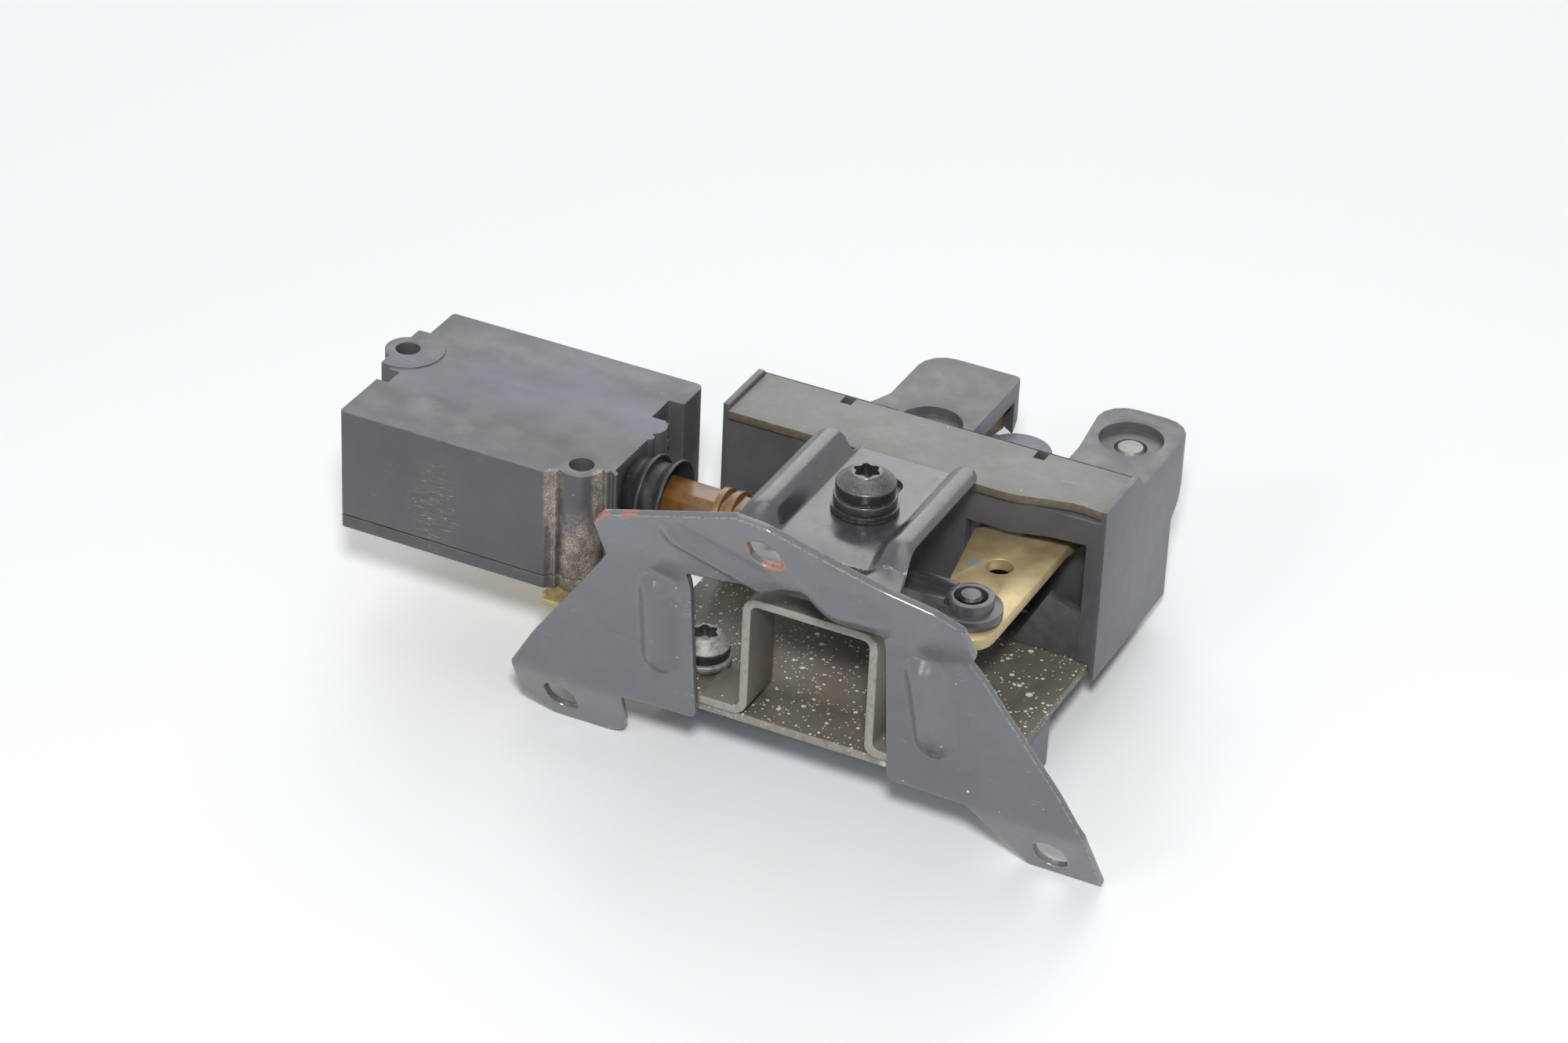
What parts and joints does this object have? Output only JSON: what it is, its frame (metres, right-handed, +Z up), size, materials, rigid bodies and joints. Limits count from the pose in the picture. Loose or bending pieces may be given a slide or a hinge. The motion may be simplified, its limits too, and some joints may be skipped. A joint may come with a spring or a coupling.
{
  "type": "vehicle tailgate lock with actuator",
  "caption": "Tailgate lock: rotating claw in a moulded case, release lever and link, spindle actuator and folded mounting bracket with slotted pads.",
  "frame": {"origin": "upper face of the top plate, in its centre plane, at the line of its front edge", "axes": "+X along the lock's width, away from the actuator; +Y towards the striker side; +Z up, out of the top plate"},
  "size_m": [0.1716, 0.117, 0.0794],
  "materials": {
    "satin_plate": "satin zinc, a little dirty",
    "base_plate": "dull zinc with dust",
    "housing_plastic": "dark grey, matt",
    "painted_bracket": "black paint, chipped at the edges",
    "channel_paint": "glossy black",
    "hat_paint": "dull olive-grey zinc with dust",
    "black_screw": "black with worn edges",
    "washer_steel": "satin",
    "gold_chromate": "yellow chromate",
    "pin_steel": "satin",
    "link_plastic": "black",
    "plunger_plastic": "amber",
    "boot_rubber": "black",
    "case_plastic": "black, slightly scuffed",
    "lid_plastic": "black",
    "carrier_chromate": "yellow chromate",
    "claw_steel": "brown, oiled",
    "claw_jacket": "lavender grey",
    "spring_steel": "bare wire",
    "cover_plastic": "grey",
    "motor_can": "bare",
    "gear_plastic": "natural",
    "terminal_brass": "bare"
  },
  "bodies": {
    "lock": {"top_plate": "satin_plate", "bottom_plate": "base_plate", "lock_housing": "housing_plastic", "mounting_bracket": "painted_bracket", "channel_bracket": "channel_paint", "hat_bracket": "hat_paint", "channel_screw": "black_screw", "channel_washer": "black_screw", "channel_nut": "washer_steel", "plate_screw_left": "black_screw", "plate_screw_right": "black_screw", "boot": "boot_rubber", "actuator_case": "case_plastic", "actuator_lid": "lid_plastic", "carrier_plate": "carrier_chromate", "claw_pin": "pin_steel", "lever_pivot_pin": "pin_steel", "claw_spring": "spring_steel", "lever_spring": "spring_steel", "lower_cover": "cover_plastic", "motor": "motor_can", "spindle_bearing": "lid_plastic", "terminal_1": "terminal_brass", "terminal_2": "terminal_brass", "terminal_3": "terminal_brass", "actuator_screw_1": "pin_steel", "actuator_screw_2": "pin_steel", "actuator_screw_3": "pin_steel"},
    "claw_unit": {"claw": "claw_steel", "claw_cover": "claw_jacket"},
    "lever_unit": {"release_lever": "gold_chromate", "lever_pin": "black_screw"},
    "plunger_unit": {"plunger": "plunger_plastic", "link_rod": "link_plastic"},
    "spindle": {"spindle_gear": "gear_plastic"},
    "motor_shaft": {"motor_pinion": "gear_plastic"}
  },
  "joints": [
    {"name": "plunger_slide", "type": "slide", "parent": "lock", "child": "plunger_unit", "axis": [1, 0, 0], "range_m": [0, 0.008]},
    {"name": "lever_swing", "type": "hinge", "parent": "lock", "child": "lever_unit", "pos_m": [0.0319, 0.034, -0.0145], "axis": [0, 0, 1], "range_deg": [0, 7.6]},
    {"name": "claw_swing", "type": "hinge", "parent": "lock", "child": "claw_unit", "pos_m": [-0.005, 0.0195, -0.011], "axis": [0, 0, 1], "range_deg": [-52, 0], "stiffness_Nm_per_rad": 0.01, "springref_deg": 28.65},
    {"name": "spindle_spin", "type": "hinge", "parent": "lock", "child": "spindle", "pos_m": [-0.074, -0.024, -0.008], "axis": [1, 0, 0], "range_deg": [0, 322]},
    {"name": "motor_spin", "type": "hinge", "parent": "lock", "child": "motor_shaft", "pos_m": [-0.074, -0.0175, -0.012], "axis": [1, 0, 0], "range_deg": [-572, 0]}
  ],
  "couplings": [
    {"joint": "lever_swing", "follows": "plunger_slide", "rad_per_m": 16.393},
    {"joint": "spindle_spin", "follows": "plunger_slide", "rad_per_m": 698.13},
    {"joint": "motor_spin", "follows": "plunger_slide", "rad_per_m": -1241.1}
  ]
}
